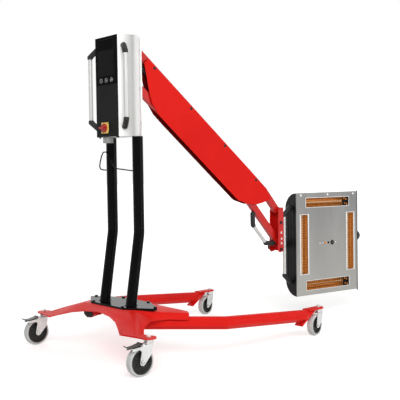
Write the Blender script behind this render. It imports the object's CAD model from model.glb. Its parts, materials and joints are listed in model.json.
"""An infrared paint curing lamp on a wheeled stand: looks, light and camera."""

import json
from math import cos, pi, radians, sin

import bmesh
import bpy
from mathutils import Matrix, Vector

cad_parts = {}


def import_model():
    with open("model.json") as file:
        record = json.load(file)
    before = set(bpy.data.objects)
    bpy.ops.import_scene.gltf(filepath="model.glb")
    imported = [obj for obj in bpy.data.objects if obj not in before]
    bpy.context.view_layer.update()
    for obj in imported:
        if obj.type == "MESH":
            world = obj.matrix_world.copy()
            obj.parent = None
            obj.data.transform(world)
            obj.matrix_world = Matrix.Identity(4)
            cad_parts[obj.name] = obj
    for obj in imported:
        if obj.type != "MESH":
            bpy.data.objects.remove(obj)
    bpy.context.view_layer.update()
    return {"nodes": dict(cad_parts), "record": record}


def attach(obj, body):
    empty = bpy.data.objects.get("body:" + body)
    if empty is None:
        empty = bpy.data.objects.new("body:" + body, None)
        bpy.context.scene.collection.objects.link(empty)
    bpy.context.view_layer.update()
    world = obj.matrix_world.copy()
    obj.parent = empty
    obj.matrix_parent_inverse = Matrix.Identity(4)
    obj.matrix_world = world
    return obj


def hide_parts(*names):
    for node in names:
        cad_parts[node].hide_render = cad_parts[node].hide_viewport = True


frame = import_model()
NODES = frame["nodes"]
BODIES = {node: body for body, nodes in frame["record"]["behaviour"]["bodies"].items() for node in nodes}


# Colours

def linear(red, green, blue):
    """Scene colour of an sRGB colour given from 0 to 255."""
    def one(value):
        value /= 255
        return value / 12.92 if value <= 0.04045 else ((value + 0.055) / 1.055) ** 2.4
    return (one(red), one(green), one(blue), 1.0)


# Materials

def add(tree, kind, settings=None, **inputs):
    """A shader node with its settings and inputs; an input given a socket is linked to it."""
    node = tree.nodes.new("ShaderNode" + kind)
    for key, value in (settings or {}).items():
        setattr(node, key, value)
    for key, value in inputs.items():
        socket = node.inputs[int(key[1:])] if key[0] == "_" else node.inputs[key.replace("_", " ")]
        if isinstance(value, bpy.types.NodeSocket):
            tree.links.new(value, socket)
        else:
            socket.default_value = value
    return node


def blended(tree, share, first, second):
    """Colour that goes from first to second as share goes from 0 to 1."""
    node = add(tree, "Mix", {"data_type": "RGBA"}, _0=share, _6=first, _7=second)
    return node.outputs[2]


def span(tree, value, low, high, start=0.0, end=1.0):
    """Maps value from low..high to start..end, clamped."""
    node = add(tree, "MapRange", {"clamp": True}, Value=value, From_Min=low, From_Max=high, To_Min=start,
               To_Max=end)
    return node.outputs[0]


def noise(tree, place, scale, detail=3.0, roughness=0.55):
    return add(tree, "TexNoise", None, Vector=place, Scale=scale, Detail=detail,
               Roughness=roughness).outputs[0]


def stretched(tree, scale):
    """Object coordinates with each axis scaled by its own factor."""
    place = add(tree, "TexCoord").outputs["Object"]
    return add(tree, "Mapping", None, Vector=place, Scale=scale).outputs[0]


def edge_mask(tree, radius):
    """1 on edges and 0 on flat faces, from how far a rounded normal turns from the true one."""
    rounded = add(tree, "Bevel", {"samples": 6}, Radius=radius).outputs[0]
    true = add(tree, "NewGeometry").outputs["Normal"]
    turn = add(tree, "VectorMath", {"operation": "DOT_PRODUCT"}, _0=rounded, _1=true).outputs["Value"]
    return span(tree, turn, 0.995, 0.90)


def surface(name, colour, second=None, patch=6.0, fine=180.0, fine_share=0.12, roughness=(0.3, 0.4),
            grain=700.0, height=0.00002, stretch=(1, 1, 1), metallic=0.0, edge=None, edge_share=0.35,
            edge_radius=0.0015, dirt=None, dirt_share=0.0, **shader):
    """A finish with patches, fine mottling, uneven gloss, surface grain and rubbed edges."""
    material = bpy.data.materials.new(name)
    material.use_nodes = True
    tree = material.node_tree
    principled = tree.nodes["Principled BSDF"]
    place = stretched(tree, stretch)
    patches = noise(tree, place, patch, 4.0)
    specks = noise(tree, place, fine, 2.0)
    second = second or tuple(channel * 0.82 for channel in colour[:3]) + (1.0,)
    tone = blended(tree, span(tree, patches, 0.35, 0.68), colour, second)
    dark = tuple(channel * 0.7 for channel in colour[:3]) + (1.0,)
    tone = blended(tree, span(tree, specks, 0.5, 0.75, 0.0, fine_share), tone, dark)
    if dirt:
        grime = noise(tree, place, patch * 3.1, 5.0, 0.7)
        tone = blended(tree, span(tree, grime, 0.52, 0.8, 0.0, dirt_share), tone, dirt)
    if edge:
        rubbed = noise(tree, place, 45.0, 4.0, 0.7)
        mask = add(tree, "Math", {"operation": "MULTIPLY"}, _0=edge_mask(tree, edge_radius),
                   _1=span(tree, rubbed, 0.35, 0.7, 0.15, 1.0)).outputs[0]
        tone = blended(tree, span(tree, mask, 0.0, 1.0, 0.0, edge_share), tone, edge)
    tree.links.new(tone, principled.inputs["Base Color"])
    gloss = noise(tree, place, patch * 2.3, 5.0, 0.65)
    tree.links.new(span(tree, gloss, 0.3, 0.7, roughness[0], roughness[1]), principled.inputs["Roughness"])
    grains = noise(tree, place, grain, 2.0)
    bump = add(tree, "Bump", None, Height=grains, Strength=1.0, Distance=height).outputs[0]
    tree.links.new(bump, principled.inputs["Normal"])
    principled.inputs["Metallic"].default_value = metallic
    for key, value in shader.items():
        principled.inputs[key.replace("_", " ")].default_value = value
    return material


def toned(material, build):
    """Passes the material's base colour through build, which returns the new colour socket."""
    tree = material.node_tree
    target = tree.nodes["Principled BSDF"].inputs["Base Color"]
    place = add(tree, "SeparateXYZ", None, Vector=add(tree, "TexCoord").outputs["Object"]).outputs
    tree.links.new(build(tree, target.links[0].from_socket, place), target)


def dark_inside(tree, tone, place):
    """Darker paint on the side of a cover that looks at the arm's middle."""
    off = add(tree, "Math", {"operation": "ABSOLUTE"}, _0=place["Y"]).outputs[0]
    return blended(tree, span(tree, off, 0.0192, 0.0186), tone, linear(112, 16, 12))


def satin_band(tree, tone, place):
    """A soft grey band down the middle of the side sheets, lighter towards both edges."""
    front = span(tree, place["X"], SATIN_BAND_X[0], SATIN_BAND_X[1], 1.0, 0.0)
    back = span(tree, place["X"], SATIN_BAND_X[1], SATIN_BAND_X[2], 0.0, 1.0)
    both = add(tree, "Math", {"operation": "MAXIMUM"}, _0=front, _1=back).outputs[0]
    return blended(tree, both, tone, linear(250, 250, 249))


MATERIALS = {}


def paint(name, *colours, **settings):
    MATERIALS[name] = surface(name, *colours, **settings)


def make_materials():
    paint("cover_red", linear(228, 34, 27), linear(218, 28, 23), patch=2.2, roughness=(0.42, 0.52),
          height=0.00003, edge=linear(250, 105, 90), edge_share=0.4, Specular_IOR_Level=0.05)
    paint("frame_red", linear(232, 34, 28), linear(220, 29, 25), patch=5.0, roughness=(0.36, 0.48),
          height=0.00003, edge=linear(252, 120, 105), edge_share=0.45, Specular_IOR_Level=0.08)
    paint("bracket_red", linear(208, 24, 18), linear(192, 20, 16), patch=8.0, roughness=(0.26, 0.36),
          height=0.00003, edge=linear(226, 96, 84), edge_share=0.5, Specular_IOR_Level=0.3)
    paint("black_gloss", linear(4, 4, 4), linear(7, 7, 8), patch=9.0, roughness=(0.10, 0.16),
          height=0.00001, edge=linear(84, 84, 86), edge_share=0.35, Specular_IOR_Level=0.06)
    paint("panel_black", linear(17, 17, 17), linear(21, 21, 21), patch=7.0, roughness=(0.45, 0.58),
          height=0.00004, grain=1500.0, edge=linear(100, 100, 100), edge_share=0.4, Specular_IOR_Level=0.08)
    paint("dark_steel", linear(28, 28, 29), linear(38, 37, 36), patch=14.0, roughness=(0.32, 0.5),
          metallic=0.25, edge=linear(120, 118, 115), edge_share=0.4, Specular_IOR_Level=0.3)
    paint("plastic", linear(34, 34, 35), linear(28, 28, 29), patch=10.0, roughness=(0.42, 0.56),
          grain=1900.0, height=0.00006, edge=linear(96, 96, 96), edge_share=0.35, Specular_IOR_Level=0.28)
    paint("housing", linear(18, 18, 19), linear(14, 14, 15), patch=5.0, roughness=(0.38, 0.52),
          grain=1200.0, height=0.00008, edge=linear(84, 84, 86), edge_share=0.4, dirt=linear(58, 56, 53),
          dirt_share=0.08, Specular_IOR_Level=0.18)
    paint("rubber", linear(212, 214, 212), linear(202, 204, 202), patch=12.0, roughness=(0.55, 0.75),
          grain=900.0, height=0.0001, dirt=linear(128, 124, 116), dirt_share=0.3,
          edge=linear(208, 209, 206), edge_share=0.3, Specular_IOR_Level=0.3)
    paint("hub_plastic", linear(30, 30, 30), linear(40, 40, 39), patch=16.0, roughness=(0.4, 0.55),
          edge=linear(100, 100, 99), edge_share=0.5, dirt=linear(105, 100, 93), dirt_share=0.12,
          Specular_IOR_Level=0.28)
    paint("zinc", linear(222, 223, 221), linear(203, 205, 204), patch=22.0, fine=300.0,
          roughness=(0.26, 0.42), metallic=0.8, height=0.00003, edge=linear(248, 248, 248), edge_share=0.4,
          dirt=linear(150, 146, 138), dirt_share=0.25)
    paint("anodised", linear(212, 213, 211), linear(203, 204, 203), patch=4.0, fine=60.0, fine_share=0.05,
          roughness=(0.30, 0.40), grain=9.0, stretch=(90, 90, 1.2), metallic=0.3, height=0.00002,
          edge=linear(250, 250, 250), edge_share=0.4, Specular_IOR_Level=0.3)
    paint("wrap", linear(176, 176, 174), linear(170, 170, 169), patch=3.0, fine=50.0, fine_share=0.05,
          roughness=(0.36, 0.46), grain=8.0, stretch=(60, 60, 1.0), metallic=0.2, height=0.00002,
          edge=linear(236, 236, 236), edge_share=0.5, Specular_IOR_Level=0.2)
    toned(MATERIALS["cover_red"], dark_inside)
    toned(MATERIALS["wrap"], satin_band)
    MATERIALS["steel"] = brushed_steel()
    paint("rim", linear(236, 238, 236), linear(226, 229, 227), patch=20.0, roughness=(0.3, 0.42),
          metallic=0.2, edge=linear(252, 252, 252), edge_share=0.5)
    paint("bright_screw", linear(238, 238, 236), linear(215, 215, 213), patch=200.0, roughness=(0.2, 0.32),
          metallic=0.7)
    paint("black_screw", linear(20, 20, 22), linear(32, 32, 34), patch=180.0, roughness=(0.3, 0.42),
          metallic=0.3, edge=linear(130, 130, 132), edge_share=0.5, edge_radius=0.0006,
          Specular_IOR_Level=0.3)
    paint("yellow", linear(255, 224, 122), linear(252, 216, 112), patch=30.0, roughness=(0.28, 0.38),
          edge=linear(255, 226, 140), edge_share=0.4, Specular_IOR_Level=0.3)
    paint("switch_red", linear(196, 24, 22), linear(176, 18, 18), patch=30.0, roughness=(0.22, 0.34),
          edge=linear(240, 110, 100), edge_share=0.4, Specular_IOR_Level=0.4)
    paint("grey_plastic", linear(168, 170, 168), linear(150, 152, 150), patch=30.0, roughness=(0.4, 0.5),
          grain=1600.0, edge=linear(215, 216, 214), edge_share=0.4)
    paint("mark", linear(196, 198, 198), linear(180, 182, 182), patch=90.0, roughness=(0.5, 0.6),
          Specular_IOR_Level=0.2)
    paint("lens", linear(12, 12, 14), linear(8, 8, 10), patch=120.0, roughness=(0.16, 0.24),
          Specular_IOR_Level=0.1)
    paint("amber_lens", linear(244, 146, 12), linear(232, 126, 8), patch=150.0, roughness=(0.25, 0.35),
          Specular_IOR_Level=0.2)
    paint("ceramic", linear(228, 222, 208), linear(208, 200, 184), patch=60.0, roughness=(0.5, 0.65),
          grain=1500.0, height=0.00005)
    paint("wire", linear(222, 142, 58), linear(190, 112, 40), patch=70.0, roughness=(0.3, 0.45),
          metallic=0.4)
    paint("quartz", linear(250, 214, 158), linear(252, 226, 184), patch=60.0, fine=300.0,
          roughness=(0.10, 0.2), Specular_IOR_Level=0.7)
    paint("glass", linear(3, 3, 3), linear(5, 5, 5), patch=4.0, roughness=(0.2, 0.27), height=0.000004,
          edge=linear(110, 112, 114), edge_share=0.3, Specular_IOR_Level=0.02)
    paint("screen", linear(4, 4, 5), linear(6, 6, 7), patch=9.0, roughness=(0.12, 0.18), grain=2600.0,
          height=0.000003, Specular_IOR_Level=0.05)
    MATERIALS["reflector"] = reflector_gold()


def brushed_steel():
    """Sheet with fine level grinding marks, which looks lighter towards its lower edge."""
    material = surface("brushed_steel_face", linear(150, 150, 147), fine=14.0, roughness=(0.36, 0.46),
                       grain=9.0, stretch=(1.5, 1.5, 110), metallic=0.8, height=0.00002)
    tree = material.node_tree
    principled = tree.nodes["Principled BSDF"]
    place = add(tree, "TexCoord").outputs["Object"]
    height = add(tree, "SeparateXYZ", None, Vector=place).outputs["Z"]
    hazy = noise(tree, stretched(tree, (3.0, 3.0, 1.2)), 2.0, 3.0)
    grind = noise(tree, stretched(tree, (1.5, 1.5, 110)), 9.0, 2.0)
    tone = blended(tree, span(tree, height, 0.66, 0.14), linear(117, 117, 117), linear(157, 156, 152))
    tone = blended(tree, span(tree, hazy, 0.35, 0.7, 0.0, 0.18), tone, linear(196, 195, 191))
    tone = blended(tree, span(tree, grind, 0.4, 0.7, 0.0, 0.12), tone, linear(110, 110, 108))
    tree.links.new(tone, principled.inputs["Base Color"])
    return material


def reflector_gold():
    """Gold coated sheet with a grid of dark pressed dots."""
    material = bpy.data.materials.new("reflector_gold")
    material.use_nodes = True
    tree = material.node_tree
    principled = tree.nodes["Principled BSDF"]
    place = stretched(tree, (1, 1, 1))
    mottle = noise(tree, place, 40.0, 4.0)
    turned = add(tree, "VectorRotate", {"rotation_type": "Z_AXIS"}, Vector=place,
                 Angle=HEAD_TURN).outputs[0]
    ribs = add(tree, "TexWave", {"wave_type": "BANDS", "bands_direction": "X"}, Vector=turned,
               Scale=DOT_WAVE, Distortion=0.0).outputs["Fac"]
    rows = add(tree, "TexWave", {"wave_type": "BANDS", "bands_direction": "Z"}, Vector=turned,
               Scale=DOT_WAVE, Distortion=0.0).outputs["Fac"]
    cells = add(tree, "Math", {"operation": "MULTIPLY"}, _0=ribs, _1=rows).outputs[0]
    gold = blended(tree, span(tree, mottle, 0.35, 0.65), linear(238, 160, 68), linear(218, 134, 46))
    tone = blended(tree, span(tree, cells, 0.22, 0.42), gold, linear(30, 14, 10))
    tree.links.new(tone, principled.inputs["Base Color"])
    tree.links.new(span(tree, mottle, 0.3, 0.7, 0.22, 0.38), principled.inputs["Roughness"])
    bump = add(tree, "Bump", None, Height=cells, Strength=1.0, Distance=0.0004).outputs[0]
    tree.links.new(bump, principled.inputs["Normal"])
    principled.inputs["Metallic"].default_value = 0.25
    return material


# Mesh helpers

def ring(mesh, points):
    return [mesh.verts.new(point) for point in points]


def bridge(mesh, first, second):
    count = len(first)
    for index in range(count):
        other = (index + 1) % count
        mesh.faces.new((first[index], first[other], second[other], second[index]))


def lathe(mesh, profile, place, segments=32, socket=0):
    """Turns (radius, height) points round the place's Z; the first rings, socket of them, are six-sided."""
    previous = None
    for index, (radius, height) in enumerate(profile):
        if radius < 1e-7:
            current = [mesh.verts.new(place @ Vector((0, 0, height)))]
        else:
            points = []
            for step in range(segments):
                angle = 2 * pi * step / segments
                reach = radius
                if index < socket:
                    reach = radius * cos(pi / 6) / cos((angle + pi / 6) % (pi / 3) - pi / 6)
                points.append(place @ Vector((reach * cos(angle), reach * sin(angle), height)))
            current = ring(mesh, points)
        if previous is not None:
            if len(previous) == 1 and len(current) > 1:
                for step in range(segments):
                    mesh.faces.new((previous[0], current[step], current[(step + 1) % segments]))
            elif len(current) == 1 and len(previous) > 1:
                for step in range(segments):
                    mesh.faces.new((previous[step], current[0], previous[(step + 1) % segments]))
            elif len(current) > 1:
                bridge(mesh, previous, current)
        previous = current
    return mesh


def tube(mesh, points, radius, sides=12, closed=False):
    """A round bar along points; radius may be a list, one for each point."""
    points = [Vector(point) for point in points]
    radii = radius if isinstance(radius, (list, tuple)) else [radius] * len(points)
    rings = []
    normal = None
    for index, point in enumerate(points):
        before = points[index - 1] if index or closed else points[index]
        after = points[(index + 1) % len(points)] if index < len(points) - 1 or closed else points[index]
        along = (after - before).normalized()
        if normal is None:
            normal = along.orthogonal().normalized()
        normal = (normal - along * normal.dot(along)).normalized()
        side = along.cross(normal)
        turns = [2 * pi * step / sides for step in range(sides)]
        rings.append(ring(mesh, [point + (normal * cos(turn) + side * sin(turn)) * radii[index]
                                 for turn in turns]))
    for first, second in zip(rings, rings[1:]):
        bridge(mesh, first, second)
    if closed:
        bridge(mesh, rings[-1], rings[0])
    else:
        mesh.faces.new(list(reversed(rings[0])))
        mesh.faces.new(rings[-1])
    return mesh


def slab(mesh, outline, low, high, place, holes=()):
    """A flat plate: an outline in the place's XY from height low to high, with through holes."""
    loops = [outline, *holes]
    bottoms, tops = [], []
    for loop in loops:
        bottom = ring(mesh, [place @ Vector((x, y, low)) for x, y in loop])
        top = ring(mesh, [place @ Vector((x, y, high)) for x, y in loop])
        bridge(mesh, bottom, top)
        bottoms.append(bottom)
        tops.append(top)
    for group in (bottoms, tops):
        if not holes:
            mesh.faces.new(group[0])
        else:
            edges = [mesh.edges.get((loop[index], loop[(index + 1) % len(loop)]))
                     for loop in group for index in range(len(loop))]
            bmesh.ops.triangle_fill(mesh, use_beauty=True, use_dissolve=False, edges=edges)
    return mesh


def rounded(width, height, radius, steps=5):
    """Outline of a rectangle with round corners about the origin."""
    points = []
    for corner, (sx, sy) in enumerate(((1, 1), (-1, 1), (-1, -1), (1, -1))):
        for step in range(steps + 1):
            angle = pi / 2 * (corner + step / steps)
            points.append((sx * (width / 2 - radius) + radius * cos(angle),
                           sy * (height / 2 - radius) + radius * sin(angle)))
    return points


def circle(radius):
    steps = 32
    return [(radius * cos(2 * pi * step / steps), radius * sin(2 * pi * step / steps))
            for step in range(steps)]


def corners(x, y):
    """Outline of a rectangle between two x and two y."""
    return [(x[0], y[0]), (x[1], y[0]), (x[1], y[1]), (x[0], y[1])]


def facing(point, normal):
    """A place at point whose Z looks along normal and whose Y stays near upright."""
    normal = Vector(normal).normalized()
    up = Vector((0, 0, 1))
    if abs(normal.dot(up)) > 0.99:
        up = Vector((1, 0, 0))
    side = up.cross(normal).normalized()
    turn = Matrix((side, normal.cross(side), normal)).transposed().to_4x4()
    return Matrix.Translation(Vector(point)) @ turn


def finish(name, mesh, material, body, bevel=0.0, segments=2, replaces=(), smooth=32):
    """Turns a mesh into a piece of the lamp that rides on a body."""
    bmesh.ops.recalc_face_normals(mesh, faces=mesh.faces)
    data = bpy.data.meshes.new(name)
    mesh.to_mesh(data)
    mesh.free()
    data.shade_smooth()
    data.set_sharp_from_angle(angle=radians(smooth))
    item = bpy.data.objects.new(name, data)
    bpy.context.scene.collection.objects.link(item)
    data.materials.append(MATERIALS[material])
    if bevel:
        modifier = item.modifiers.new("bevel", "BEVEL")
        modifier.width = bevel
        modifier.segments = segments
        modifier.limit_method = "ANGLE"
        modifier.angle_limit = radians(smooth)
        modifier.harden_normals = True
    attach(item, body)
    for node in replaces:
        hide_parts(node)
    return item


def dressed(node, material, bevel=0.0012, segments=2, smooth=32):
    """The node's own shape with rounded edges and a finer finish."""
    mesh = bmesh.new()
    mesh.from_mesh(NODES[node].data)
    bmesh.ops.remove_doubles(mesh, verts=mesh.verts, dist=0.00002)
    bmesh.ops.dissolve_limit(mesh, angle_limit=radians(0.8), verts=mesh.verts, edges=mesh.edges)
    return finish(node + "_dressed", mesh, material, BODIES[node], bevel, segments, (node,),
                  smooth)


def repaint(node, material):
    for entry in NODES[node].material_slots:
        entry.material = MATERIALS[material]


def screw_head(mesh, point, normal, radius, height, segments=18):
    """A button head with a six-sided socket."""
    lathe(mesh, [(0, height * 0.2), (radius * 0.46, height * 0.2), (radius * 0.46, height * 0.88),
                 (radius * 0.7, height * 0.86), (radius * 0.9, height * 0.6), (radius, height * 0.2),
                 (radius, -height * 0.1)], facing(point, normal), segments, 3)


def hex_nut(mesh, point, normal, across, height, bore):
    """A chamfered nut on a washer."""
    place = facing(point, normal)
    corner = across / 2 / cos(pi / 6)
    lathe(mesh, [(corner * 1.28, 0), (corner * 1.28, height * 0.12), (corner * 1.24, height * 0.2),
                 (bore, height * 0.2)], place, 30)
    lathe(mesh, [(corner, height * 0.2), (corner, height * 0.9), (corner * 0.9, height), (bore, height),
                 (bore, height * 0.3)], place, 30, 2)


# Places in the lamp

HEAD_TURN = radians(7.575)
DOT_WAVE = 21.0
HEAD_PLACE = Matrix.Translation((0.718898, 0.0601, 0.41261)) @ Matrix.Rotation(-HEAD_TURN, 4, "Z")
FACE_Y = -0.1615
FACE_PLACE = HEAD_PLACE @ Matrix.Translation((0, FACE_Y, 0)) @ Matrix.Rotation(pi / 2, 4, "X")
WINDOW_LENGTH = 0.340
WINDOW_WIDTH = 0.055
HOLDER_LENGTH = 0.048
TUBE_DEPTH = 0.024
TUBE_STEPS = 56
EYE_X = 0.034
VENT_SIDE = 0.120
VENT_START = 0.055
VENT_PITCH = 0.0135
VENT_ROWS = 9
HEAD_BACK = 0.0665
WINDOWS = (("top", 0.0, 0.236, False), ("bottom", 0.0, -0.236, False), ("left", -0.181, 0.0, True),
           ("right", 0.181, 0.0, True))
ARM_TOP = Vector((-0.610402, 0, 1.41961))
ARM_BEND = Vector((0.264563, 0, 0.724596))
COVER_Y = 0.020
COVER_SCREW_FIRST = 0.1271
COVER_SCREW_PITCH = 0.2622
BRACKET_Y = 0.034
BOX_FACE_X = -0.7664
BOX_BACK_X = -0.6361
SATIN_BAND_X = (-0.754, -0.700, -0.664)
ICON_RADIUS = 0.0105
ICON_INNER = 0.0086
ICON_Z = 1.2571
PLATE_FACE_X = -0.7707
SWITCH_Y = 0.005
SWITCH_Z = 1.04061
INLET_FACE_X = -0.7594
POLE_FOOT = (-0.725402, 0.103, 0.2318)


def face_place(x, z, depth=0.0, upright=False):
    """A place on the lamp face: X along it, Y up it, Z out of it; upright turns X to point up."""
    place = FACE_PLACE @ Matrix.Translation((x, z, -depth))
    return place @ Matrix.Rotation(pi / 2, 4, "Z") if upright else place


# Lamp head

def lamp_windows():
    for name, x, z, upright in WINDOWS:
        half, edge = WINDOW_LENGTH / 2, WINDOW_WIDTH / 2
        place = face_place(x, z, 0, upright)
        wide = 0.014 if upright else 0.003
        rim = slab(bmesh.new(), rounded(WINDOW_LENGTH + 0.004, WINDOW_WIDTH + wide, 0.004), 0.0, 0.0014,
                   place, [rounded(WINDOW_LENGTH - 0.003, WINDOW_WIDTH - 0.003, 0.002)])
        finish("window_rim_" + name, rim, "rim", "head", 0.0004, 2)
        grille = bmesh.new()
        count = 23 if upright else 20
        stop = half if upright else half - HOLDER_LENGTH
        for index in range(count):
            along = -half + (half + stop) * (index + 0.5) / count
            tube(grille, [place @ Vector((along, -edge + 0.0006, -0.0012)),
                          place @ Vector((along, edge - 0.0006, -0.0012))], 0.0010, 6)
        for across in (-0.0190, -0.0095, 0.0, 0.0095, 0.0190):
            tube(grille, [place @ Vector((-half + 0.0006, across, -0.0026)),
                          place @ Vector((stop - 0.0006, across, -0.0026))], 0.0008, 6)
        finish("window_grille_" + name, grille, "wire", "head")
        lamp_tube(name, place, half, upright)


def lamp_tube(name, place, half, upright):
    """Quartz tube with its caps; a level lamp also has a holder, a dark lead and small contacts."""
    quartz = bmesh.new()
    start, end = -half + 0.012, half - (0.016 if upright else 0.050)
    points, radii = [], []
    for step in range(TUBE_STEPS + 1):
        along = start + (end - start) * step / TUBE_STEPS
        points.append(place @ Vector((along, 0, -TUBE_DEPTH)))
        radii.append(0.0052 + 0.0004 * (step % 2))
    tube(quartz, points, radii, 16)
    finish("lamp_tube_" + name, quartz, "quartz", "head", replaces=("lamp_" + name,))
    caps = bmesh.new()
    for along, direction in ((start, -1), (end, 1)):
        end_place = place @ Matrix.Translation((along, 0, -TUBE_DEPTH))
        cap_place = end_place @ Matrix.Rotation(direction * pi / 2, 4, "Y")
        lathe(caps, [(0, -0.002), (0.0066, -0.002), (0.0072, 0.0), (0.0072, 0.009), (0.006, 0.010),
                     (0, 0.010)], cap_place, 20)
    finish("lamp_caps_" + name, caps, "ceramic", "head", 0.0003, 1)
    if upright:
        return
    holder = bmesh.new()
    for low, high, deep in ((-0.026, -0.004, 0.020), (0.003, 0.026, 0.024)):
        slab(holder, corners((half - 0.044, half - 0.004), (low, high)), -deep, -0.003, place)
    slab(holder, corners((half - 0.036, half - 0.012), (-0.0045, 0.004)), -0.020, -0.012, place)
    across = -0.010 if name == "top" else -0.0005
    tube(holder, [place @ Vector((start, across, -0.014)), place @ Vector((half - 0.040, across, -0.014))],
         0.0030, 8)
    finish("lamp_holder_" + name, holder, "lens", "head", 0.001, 2)
    bits = bmesh.new()
    for along, across, wide, high in ((half - 0.036, 0.017, 0.008, 0.007),
                                      (half - 0.020, 0.012, 0.006, 0.010),
                                      (half - 0.030, -0.012, 0.010, 0.005),
                                      (half - 0.014, -0.018, 0.008, 0.008)):
        sides = (along - wide / 2, along + wide / 2)
        slab(bits, corners(sides, (across - high / 2, across + high / 2)), -0.0035, -0.0015, place)
    finish("lamp_contacts_" + name, bits, "amber_lens", "head", 0.0008, 2)


def lamp_face():
    dressed("front_panel", "steel", 0.0008, 2)
    repaint("reflector_pan", "reflector")
    screws = bmesh.new()
    for x in (-0.205, 0.0, 0.205):
        screw_head(screws, face_place(x, 0.279).translation, FACE_PLACE.col[2].xyz, 0.0066, 0.0030)
    finish("face_screws", screws, "bright_screw", "head", 0.0, smooth=40)
    edging = slab(bmesh.new(), [(0.2350, -0.298), (0.2415, -0.298), (0.2415, 0.296), (0.2375, 0.296)],
                  -0.0030, 0.0014, FACE_PLACE)
    finish("panel_edging", edging, "plastic", "head", 0.0004, 1)
    white = bmesh.new()
    for x in (-0.062, -0.040, 0.062):
        lathe(white, [(0.0036, -0.0004), (0.0036, 0.0010), (0.0028, 0.0016), (0, 0.0018)],
              face_place(x, 0.0), 20)
    finish("sensor_pins", white, "rim", "head")
    amber = lathe(bmesh.new(), [(0.0066, -0.0004), (0.0066, 0.0012), (0.0048, 0.0024), (0, 0.0030)],
                  face_place(-0.020, 0.0), 24)
    finish("sensor_amber", amber, "amber_lens", "head")
    dark = lathe(bmesh.new(), [(0.0066, -0.0004), (0.0066, 0.0010), (0.0052, 0.0014), (0.0040, 0.0010),
                               (0, 0.0008)], face_place(0.004, 0.0), 24)
    finish("sensor_dark", dark, "lens", "head")
    bezel = lathe(bmesh.new(), [(0.0135, -0.0004), (0.0135, 0.0014), (0.0122, 0.0022), (0.0096, 0.0022),
                                (0.0090, 0.0008), (0.0090, -0.0035)], face_place(EYE_X, 0.0), 32)
    finish("sensor_bezel", bezel, "plastic", "head", smooth=28)
    eye = lathe(bmesh.new(), [(0.0089, -0.0030), (0.0070, -0.0008), (0.0040, 0.0004), (0, 0.0008)],
                face_place(EYE_X, 0.0), 32)
    finish("sensor_eye", eye, "lens", "head")
    glint = lathe(bmesh.new(), [(0.0030, 0.0004), (0.0030, 0.0012), (0.0018, 0.0016), (0, 0.0016)],
                  face_place(EYE_X, 0.0), 20)
    finish("sensor_core", glint, "grey_plastic", "head")


def vent_places(back):
    """The place of each slot in the four vent fields of the housing's back."""
    for side in (-1, 1):
        for row in range(VENT_ROWS):
            z = VENT_START + row * VENT_PITCH
            for sign in (-1, 1):
                yield back @ Matrix.Translation((side * VENT_SIDE, -sign * z, -HEAD_BACK))


def housing_details():
    dressed("rear_housing", "housing", 0.0012, 2)
    dressed("side_knob", "plastic", 0.0010, 2)
    back = HEAD_PLACE @ Matrix.Rotation(-pi / 2, 4, "X")
    slot = rounded(0.102, 0.0045, 0.0021, 4)
    vents, gaps = bmesh.new(), bmesh.new()
    for place in vent_places(back):
        slab(vents, rounded(0.110, 0.0085, 0.0042, 4), -0.0005, 0.0016, place, [slot])
        slab(gaps, slot, -0.0004, 0.0004, place)
    finish("housing_vents", vents, "plastic", "head", 0.0004, 1)
    finish("housing_vent_gaps", gaps, "screen", "head")
    screws = bmesh.new()
    for x in (-0.222, 0.222):
        for z in (-0.175, 0.175):
            point = back @ Vector((x, -z, -HEAD_BACK))
            screw_head(screws, point, back.col[2].xyz, 0.0055, 0.0028)
    finish("housing_screws", screws, "black_screw", "head")


# Grip bars

def grips():
    for name in ("box_grip_far", "box_grip_near", "arm_grip", "head_grip"):
        dressed(name + "_bar", "anodised", 0.0006, 1, 50)
        for end in ("_upper_elbow", "_lower_elbow"):
            dressed(name + end, "plastic", 0.0014, 3, 40)


# Control box

def display():
    dressed("display_panel", "glass", 0.0008, 2)
    face = facing((BOX_FACE_X, 0, 1.346), (-1, 0, 0))
    frame_ring = slab(bmesh.new(), rounded(0.128, 0.196, 0.004), -0.0002, 0.0004, face,
                      [rounded(0.1256, 0.1936, 0.003)])
    finish("display_line", frame_ring, "panel_black", "stand")
    screen_place = facing((BOX_FACE_X, 0, 1.3351), (-1, 0, 0))
    screen = slab(bmesh.new(), rounded(0.118, 0.116, 0.003), -0.0002, 0.0007, screen_place)
    finish("display_screen", screen, "screen", "stand", 0.0003, 2)
    marks = bmesh.new()
    for index, y in enumerate((0.042, 0.0, -0.040)):
        place = facing((BOX_FACE_X, y, ICON_Z), (-1, 0, 0))
        slab(marks, circle(ICON_RADIUS), -0.0002, 0.0004, place, [circle(ICON_INNER)])
        if index == 0:
            slab(marks, rounded(0.0030, 0.0092, 0.0008, 2), -0.0002, 0.0004, place)
        elif index == 1:
            slab(marks, [(-0.0032, -0.0044), (0.0048, 0.0), (-0.0032, 0.0044)], -0.0002, 0.0004, place)
        else:
            slab(marks, rounded(0.0068, 0.0068, 0.001, 2), -0.0002, 0.0004, place)
    finish("display_marks", marks, "mark", "stand")


def main_switch():
    dressed("switch_plate", "yellow", 0.0009, 2)
    dressed("switch_knob", "switch_red", 0.0012, 3)
    middle = facing((PLATE_FACE_X, SWITCH_Y, SWITCH_Z), (-1, 0, 0))
    marks = bmesh.new()
    slab(marks, rounded(0.0014, 0.0024, 0.0004, 2), -0.0002, 0.0005,
         middle @ Matrix.Translation((0, 0.0235, 0)))
    finish("switch_marks", marks, "black_screw", "stand")
    screws = bmesh.new()
    for y in (SWITCH_Y - 0.0190, SWITCH_Y + 0.0190):
        for z in (-0.0205, 0.0205):
            screw_head(screws, (PLATE_FACE_X, y, SWITCH_Z + z), (-1, 0, 0), 0.0022, 0.0012, 18)
    finish("switch_screws", screws, "black_screw", "stand")


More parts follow.
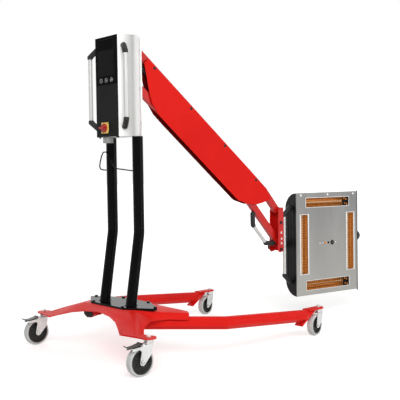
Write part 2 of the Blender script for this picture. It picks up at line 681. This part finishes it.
def control_box():
    dressed("box_chassis", "wrap", 0.0008, 2)
    dressed("box_shell", "wrap", 0.0010, 2)
    dressed("lower_panel", "panel_black", 0.0008, 2)
    dressed("supply_inlet", "grey_plastic", 0.0010, 2)
    display()
    main_switch()
    inlet = bmesh.new()
    turn = Matrix(((0, 0, -1, 0), (1, 0, 0, 0), (0, 1, 0, 0), (0, 0, 0, 1)))
    front = Matrix.Translation((INLET_FACE_X, 0, 0)) @ turn
    for index in range(6):
        y = 0.0185 + index * 0.0050
        slab(inlet, corners((y - 0.001, y + 0.001), (0.9745, 0.9975)), -0.0002, 0.0008, front)
    finish("inlet_ribs", inlet, "grey_plastic", "stand", 0.0004, 1)
    studs = bmesh.new()
    for y in (-0.072, -0.062, 0.072):
        lathe(studs, [(0, -0.0058), (0.0035, -0.0058), (0.0045, -0.0045), (0.0045, 0.0)],
              Matrix.Translation((-0.7560, y, 0.9996)), 16)
    finish("box_feet", studs, "black_screw", "stand")
    back = bmesh.new()
    for sign in (-1, 1):
        for z in (1.030, 1.130, 1.430):
            screw_head(back, (BOX_BACK_X, sign * 0.078, z), (1, 0, 0), 0.0048, 0.0026)
    for sign in (-1, 1):
        for z in (1.058, 1.216, 1.388):
            screw_head(back, (-0.6452, sign * 0.0868, z), (0.91, sign * 0.42, 0), 0.0038, 0.0022)
    finish("box_back_screws", back, "black_screw", "stand")
    louvres = bmesh.new()
    for row in range(10):
        z = 1.036 + row * 0.0125
        place = facing((BOX_BACK_X, 0, z), (1, 0, 0))
        slab(louvres, rounded(0.100, 0.0080, 0.0035, 4), -0.0002, 0.0018, place,
             [rounded(0.092, 0.0034, 0.0016, 4)])
    finish("box_louvres", louvres, "dark_steel", "stand", 0.0005, 2)


# Column and base

def column():
    dressed("column_plate", "black_gloss", 0.0010, 2)
    for node in ("pole_far", "pole_near"):
        dressed(node, "black_gloss", 0.0008, 1, 40)
    dressed("cable_hanger", "black_gloss", 0.0004, 1, 50)
    dressed("column_bracket", "black_gloss", 0.0012, 2)
    dressed("upper_column_pin", "black_screw", 0.0008, 2)
    dressed("lower_column_pin", "black_screw", 0.0008, 2)
    welds = bmesh.new()
    x, y, z = POLE_FOOT
    for sign in (-1, 1):
        points = []
        for step in range(48):
            angle = 2 * pi * step / 48
            reach = 0.0268 + 0.0004 * sin(9 * angle)
            points.append((x + reach * cos(angle), sign * y + reach * sin(angle), z))
        tube(welds, points, 0.0030, 10, True)
    finish("pole_welds", welds, "black_gloss", "stand")


def base():
    dressed("base_shell", "frame_red", 0.0009, 2)
    for sign, name in ((1, "far"), (-1, "near")):
        dressed("leg_" + name, "frame_red", 0.0016, 3)
        plug = bmesh.new()
        out = -Vector((0.331, sign * 0.217, -0.018)).normalized()
        centre = Vector((-0.756402, sign * 0.193, 0.16761)) + out * 0.0002
        lathe(plug, [(0.0236, -0.010), (0.0240, 0.0), (0.0268, 0.0), (0.0268, 0.0016), (0.0252, 0.0036),
                     (0.0170, 0.0070), (0.0080, 0.0084), (0, 0.0088)], facing(centre, out), 36)
        finish("leg_plug_" + name, plug, "plastic", "stand", smooth=30)


# Casters

CASTERS = (("front_far", (-0.918402, 0.417, 0.06211), 0.0621, 0.0, True),
           ("front_near", (-0.918402, -0.417, 0.06211), 0.0621, 0.0, True),
           ("rear_far", (0.187388, 0.401795, 0.05311), 0.0531, 11.0, False),
           ("rear_near", (0.187388, -0.418205, 0.05311), 0.0531, 11.0, False))


def wheels():
    for name, centre, radius, turn, braked in CASTERS:
        place = Matrix.Translation(centre) @ Matrix.Rotation(radians(turn), 4, "Z")
        place = place @ Matrix.Rotation(pi / 2, 4, "X")
        core = radius - 0.0100
        half = 0.016
        profile = [(core, -half + 0.001)]
        for step in range(15):
            angle = -pi / 2 + pi * step / 14
            profile.append((core + 0.0010 + (radius - core - 0.0010) * max(cos(angle), 0.0) ** 0.42,
                            half * sin(angle)))
        profile.append((core, half - 0.001))
        tyre = lathe(bmesh.new(), profile, place, 56)
        finish(name + "_tyre_round", tyre, "rubber", name + "_wheel",
               replaces=(name + "_tyre",), smooth=40)
        hub = bmesh.new()
        near = [(0.0046, 0.0186), (0.0125, 0.0186), (0.0135, 0.0176), (0.0145, 0.0080), (0.0190, 0.0060),
                (0.0205, 0.0076), (0.0235, 0.0076), (0.0250, 0.0052), (core * 0.74, 0.0048),
                (core * 0.80, 0.0080), (core * 0.86, 0.0146), (core * 0.955, 0.0152),
                (core - 0.0003, 0.0142)]
        far = [(reach, -height) for reach, height in reversed(near)]
        lathe(hub, near + far + [near[0]], place, 56)
        for step in range(10):
            spoke = place @ Matrix.Rotation(2 * pi * step / 10, 4, "Z")
            for low, high in ((-0.0068, -0.0040), (0.0040, 0.0068)):
                slab(hub, corners((0.022, core * 0.80), (-0.0011, 0.0011)), low, high, spoke)
        finish(name + "_hub_round", hub, "hub_plastic", name + "_wheel", 0.0003, 1,
               (name + "_hub",), 30)
        dressed(name + "_fork", "zinc", 0.0007, 2)
        if braked:
            dressed(name + "_brake_pedal", "dark_steel", 0.0007, 2)
        axle = bmesh.new()
        for side in (-1, 1):
            point = place @ Vector((0, 0, side * 0.0250))
            normal = place.to_3x3() @ Vector((0, 0, side))
            hex_nut(axle, point, normal, 0.0115, 0.0052, 0.0030)
        finish(name + "_axle_nuts", axle, "bright_screw", name + "_caster", smooth=30)


# Arm

def arm():
    for name, sign in (("near", -1), ("far", 1)):
        dressed("arm_cover_" + name, "cover_red", 0.0008, 2)
        screws = bmesh.new()
        rings = bmesh.new()
        for index in range(4):
            share = COVER_SCREW_FIRST + COVER_SCREW_PITCH * index
            point = ARM_TOP.lerp(ARM_BEND, share) + Vector((0, sign * COVER_Y, 0))
            screw_head(screws, point, (0, sign, 0), 0.0056, 0.0030)
            lathe(rings, [(0.0058, 0.0), (0.0080, 0.0), (0.0080, 0.0006), (0.0058, 0.0009)],
                  facing(point, (0, sign, 0)), 24)
        finish("cover_screws_" + name, screws, "black_screw", "upper_arm")
        finish("cover_washers_" + name, rings, "dark_steel", "upper_arm")
    dressed("upper_link", "bracket_red", 0.0012, 2)
    dressed("lower_link", "bracket_red", 0.0012, 2)
    dressed("end_bracket", "bracket_red", 0.0012, 2)
    dressed("spring_cylinder", "dark_steel", 0.0005, 1)
    dressed("spring_rod", "zinc", 0.0005, 1)
    dressed("head_arm", "dark_steel", 0.0010, 2)
    dressed("swivel_hub", "dark_steel", 0.0008, 2)
    bolts = bmesh.new()
    washers = bmesh.new()
    for sign in (-1, 1):
        for z in (0.5446, 0.3946):
            lathe(bolts, [(0.0094, 0.0002), (0.0094, 0.0012), (0.0072, 0.0016), (0.0070, 0.0058),
                          (0.0058, 0.0064), (0, 0.0066)],
                  facing((0.369598, sign * BRACKET_Y, z), (0, sign, 0)), 24)
        for z in (0.4876, 0.4536, 0.4286):
            lathe(washers, [(0.0030, 0), (0.0062, 0), (0.0062, 0.0014), (0.0030, 0.0018)],
                  facing((0.3716, sign * 0.0341, z), (0, sign, 0)), 22)
    finish("end_bolt_heads", bolts, "black_screw", "arm_end", smooth=30)
    finish("end_washers", washers, "bright_screw", "arm_end", smooth=30)


# Stage, light and camera

FLOOR_Z = -0.0005
FLOOR_REACH = 40.0
SOFTBOXES = (("key", (-3.2, -3.4, 3.4), (-0.3, 0, 0.9), 2.6, 2.6, 132),
             ("fill", (2.6, -3.2, 2.0), (0.3, 0, 0.6), 3.0, 3.0, 34),
             ("strip", (0.5, -3.0, 1.0), (-0.7, 0, 0.7), 0.20, 2.2, 12),
             ("back", (1.0, 3.6, 2.8), (0, 0, 0.9), 3.0, 3.0, 44))
CAMERA_PLACE = (-2.783872, -2.884, 0.8357)
CAMERA_YAW = radians(48.171)
CAMERA_PITCH = radians(2.1605)
CAMERA_ROLL = radians(-0.8315)
CAMERA_LENS = 68.46


def seen_direct(tree):
    """1 for rays of the camera, of reflections and of see-through pieces, and 0 for all others."""
    seen = add(tree, "LightPath").outputs
    direct = seen["Is Camera Ray"]
    for ray in ("Is Glossy Ray", "Is Transmission Ray"):
        direct = add(tree, "Math", {"operation": "MAXIMUM"}, _0=direct, _1=seen[ray]).outputs[0]
    return direct


def stage():
    material = bpy.data.materials.new("floor_white")
    material.use_nodes = True
    tree = material.node_tree
    principled = tree.nodes["Principled BSDF"]
    place = stretched(tree, (1, 1, 1))
    tone = blended(tree, span(tree, noise(tree, place, 3.0, 4.0), 0.4, 0.6), (0.80, 0.80, 0.80, 1),
                   (0.82, 0.82, 0.815, 1))
    tree.links.new(tone, principled.inputs["Base Color"])
    principled.inputs["Roughness"].default_value = 0.9
    principled.inputs["Specular IOR Level"].default_value = 0.1
    direct = seen_direct(tree)
    reach = add(tree, "VectorMath", {"operation": "LENGTH"}, _0=place).outputs["Value"]
    glow = add(tree, "Emission", None, Color=(1, 1, 1, 1), Strength=span(tree, reach, 1.2, 5.0, 0.52, 1.0))
    both = add(tree, "AddShader", None, _0=principled.outputs[0], _1=glow.outputs[0])
    mixed = add(tree, "MixShader", None, _0=direct, _1=principled.outputs[0], _2=both.outputs[0])
    tree.links.new(mixed.outputs[0], tree.nodes["Material Output"].inputs["Surface"])
    mesh = bmesh.new()
    edges = (-FLOOR_REACH, FLOOR_REACH)
    mesh.faces.new(ring(mesh, [(x, y, FLOOR_Z) for x, y in corners(edges, edges)]))
    data = bpy.data.meshes.new("floor")
    mesh.to_mesh(data)
    mesh.free()
    data.materials.append(material)
    floor = bpy.data.objects.new("floor", data)
    bpy.context.scene.collection.objects.link(floor)


def world():
    sky = bpy.data.worlds.new("studio")
    bpy.context.scene.world = sky
    sky.use_nodes = True
    tree = sky.node_tree
    tree.nodes.clear()
    out = add(tree, "OutputWorld")
    direct = seen_direct(tree)
    soft = add(tree, "Background", None, Color=(1.0, 0.99, 0.97, 1), Strength=0.34)
    white = add(tree, "Background", None, Color=(1, 1, 1, 1), Strength=1.0)
    mixed = add(tree, "MixShader", None, _0=direct, _1=soft.outputs[0], _2=white.outputs[0])
    tree.links.new(mixed.outputs[0], out.inputs["Surface"])


def softbox(name, place, target, width, height, power):
    data = bpy.data.lights.new(name, "AREA")
    data.shape = "RECTANGLE"
    data.size = width
    data.size_y = height
    data.energy = power
    item = bpy.data.objects.new(name, data)
    bpy.context.scene.collection.objects.link(item)
    item.location = place
    item.rotation_mode = "QUATERNION"
    item.rotation_quaternion = (Vector(target) - Vector(place)).to_track_quat("-Z", "Y")


def camera():
    yaw, pitch, roll = CAMERA_YAW, CAMERA_PITCH, CAMERA_ROLL
    forward = Vector((cos(yaw) * cos(pitch), sin(yaw) * cos(pitch), -sin(pitch)))
    right = Vector((sin(yaw), -cos(yaw), 0))
    up = right.cross(forward)
    side = right * cos(roll) + up * sin(roll)
    top = up * cos(roll) - right * sin(roll)
    data = bpy.data.cameras.new("camera")
    data.lens = CAMERA_LENS
    data.sensor_width = 36.0
    data.clip_start = 0.05
    data.clip_end = 200.0
    item = bpy.data.objects.new("camera", data)
    bpy.context.scene.collection.objects.link(item)
    turn = Matrix((side, top, -forward)).transposed().to_4x4()
    item.matrix_world = Matrix.Translation(CAMERA_PLACE) @ turn
    bpy.context.scene.camera = item


def main():
    make_materials()
    camera()
    stage()
    world()
    for light in SOFTBOXES:
        softbox(*light)
    base()
    wheels()
    column()
    control_box()
    grips()
    arm()
    lamp_face()
    lamp_windows()
    housing_details()
    bpy.context.scene.view_settings.view_transform = "Standard"


main()
